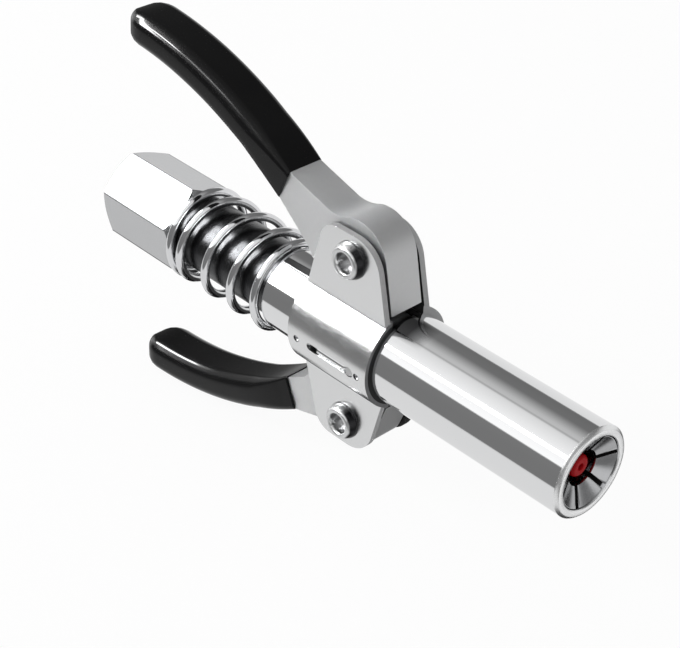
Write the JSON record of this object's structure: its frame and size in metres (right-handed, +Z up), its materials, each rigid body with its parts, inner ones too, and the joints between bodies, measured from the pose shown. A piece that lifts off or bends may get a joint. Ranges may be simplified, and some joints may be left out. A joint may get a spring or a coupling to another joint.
{
  "type": "lock-on grease coupler",
  "caption": "Lock-on grease coupler: hex inlet, sprung sleeve and collet jaws that grip a grease nipple, released by squeezing two levers with dipped grips.",
  "frame": {"origin": "centre of the inlet face, on the axis of the tapped inlet", "axes": "+X along the coupler from the inlet to the nose, +Z up to the longer lever, +Y to the far side"},
  "size_m": [0.1101, 0.0184, 0.0732],
  "materials": {
    "chrome_plate": "bright nickel-chrome plate",
    "satin_plate": "satin zinc-nickel plate on pressed steel",
    "rivet_steel": "plated steel",
    "grip_vinyl": "glossy black dipped vinyl",
    "jaw_steel": "hardened and ground steel",
    "core_steel": "turned steel",
    "spring_steel": "drawn spring wire",
    "ball_steel": "polished bearing steel",
    "copper": "soft annealed copper",
    "seal_rubber": "deep red moulded rubber"
  },
  "bodies": {
    "core": {"inlet_hex_body": "chrome_plate", "inlet_washer": "copper", "core_tube": "core_steel", "guide_pins": "rivet_steel", "main_spring": "chrome_plate", "jaw_carrier": "core_steel", "check_spring": "spring_steel", "seal_spring": "spring_steel"},
    "sleeve": {"outer_sleeve": "chrome_plate", "bracket_near": "satin_plate", "bracket_far": "satin_plate", "bracket_dowel_pins": "rivet_steel", "upper_pivot_rivet": "rivet_steel", "lower_pivot_rivet": "rivet_steel"},
    "upper_lever": {"upper_lever": "satin_plate", "upper_grip": "grip_vinyl"},
    "lower_lever": {"lower_lever": "satin_plate", "lower_grip": "grip_vinyl"},
    "jaw_1": {"jaw_1": "jaw_steel"},
    "jaw_2": {"jaw_2": "jaw_steel"},
    "jaw_3": {"jaw_3": "jaw_steel"},
    "jaw_4": {"jaw_4": "jaw_steel"},
    "jaw_5": {"jaw_5": "jaw_steel"},
    "jaw_6": {"jaw_6": "jaw_steel"},
    "seal": {"seal_plunger": "core_steel", "seal_tip": "seal_rubber"},
    "check_valve": {"check_ball": "ball_steel"}
  },
  "joints": [
    {"name": "sleeve_slide", "type": "slide", "parent": "core", "child": "sleeve", "axis": [-1, 0, 0], "range_m": [0, 0.00295], "stiffness_N_per_m": 4000, "deforming": ["main_spring"]},
    {"name": "upper_lever_pivot", "type": "hinge", "parent": "sleeve", "child": "upper_lever", "pos_m": [0.062, 0, 0.0166], "axis": [0, -1, 0], "range_deg": [0, 15.5]},
    {"name": "lower_lever_pivot", "type": "hinge", "parent": "sleeve", "child": "lower_lever", "pos_m": [0.062, 0, -0.0153], "axis": [0, 1, 0], "range_deg": [0, 17.6]},
    {"name": "jaw_1_open", "type": "hinge", "parent": "core", "child": "jaw_1", "pos_m": [0.0878, 0.00299, 0.00251], "axis": [0, -0.6428, 0.766], "range_deg": [0, 1.5]},
    {"name": "jaw_2_open", "type": "hinge", "parent": "core", "child": "jaw_2", "pos_m": [0.0878, -0.00068, 0.00384], "axis": [0, -0.9848, -0.1736], "range_deg": [0, 1.5]},
    {"name": "jaw_3_open", "type": "hinge", "parent": "core", "child": "jaw_3", "pos_m": [0.0878, -0.00366, 0.00133], "axis": [0, -0.342, -0.9397], "range_deg": [0, 1.5]},
    {"name": "jaw_4_open", "type": "hinge", "parent": "core", "child": "jaw_4", "pos_m": [0.0878, -0.00299, -0.00251], "axis": [0, 0.6428, -0.766], "range_deg": [0, 1.5]},
    {"name": "jaw_5_open", "type": "hinge", "parent": "core", "child": "jaw_5", "pos_m": [0.0878, 0.00068, -0.00384], "axis": [0, 0.9848, 0.1736], "range_deg": [0, 1.5]},
    {"name": "jaw_6_open", "type": "hinge", "parent": "core", "child": "jaw_6", "pos_m": [0.0878, 0.00366, -0.00133], "axis": [0, 0.342, 0.9397], "range_deg": [0, 1.5]},
    {"name": "seal_slide", "type": "slide", "parent": "core", "child": "seal", "axis": [-1, 0, 0], "range_m": [0, 0.0035], "stiffness_N_per_m": 900, "deforming": ["seal_spring"]},
    {"name": "check_ball_lift", "type": "slide", "parent": "core", "child": "check_valve", "axis": [1, 0, 0], "range_m": [0, 0.0015], "stiffness_N_per_m": 150, "deforming": ["check_spring"]}
  ],
  "couplings": [
    {"joint": "upper_lever_pivot", "follows": "sleeve_slide", "rad_per_m": 91.186},
    {"joint": "lower_lever_pivot", "follows": "sleeve_slide", "rad_per_m": 103.65},
    {"joint": "jaw_1_open", "follows": "sleeve_slide", "rad_per_m": 8.857},
    {"joint": "jaw_2_open", "follows": "sleeve_slide", "rad_per_m": 8.857},
    {"joint": "jaw_3_open", "follows": "sleeve_slide", "rad_per_m": 8.857},
    {"joint": "jaw_4_open", "follows": "sleeve_slide", "rad_per_m": 8.857},
    {"joint": "jaw_5_open", "follows": "sleeve_slide", "rad_per_m": 8.857},
    {"joint": "jaw_6_open", "follows": "sleeve_slide", "rad_per_m": 8.857}
  ]
}
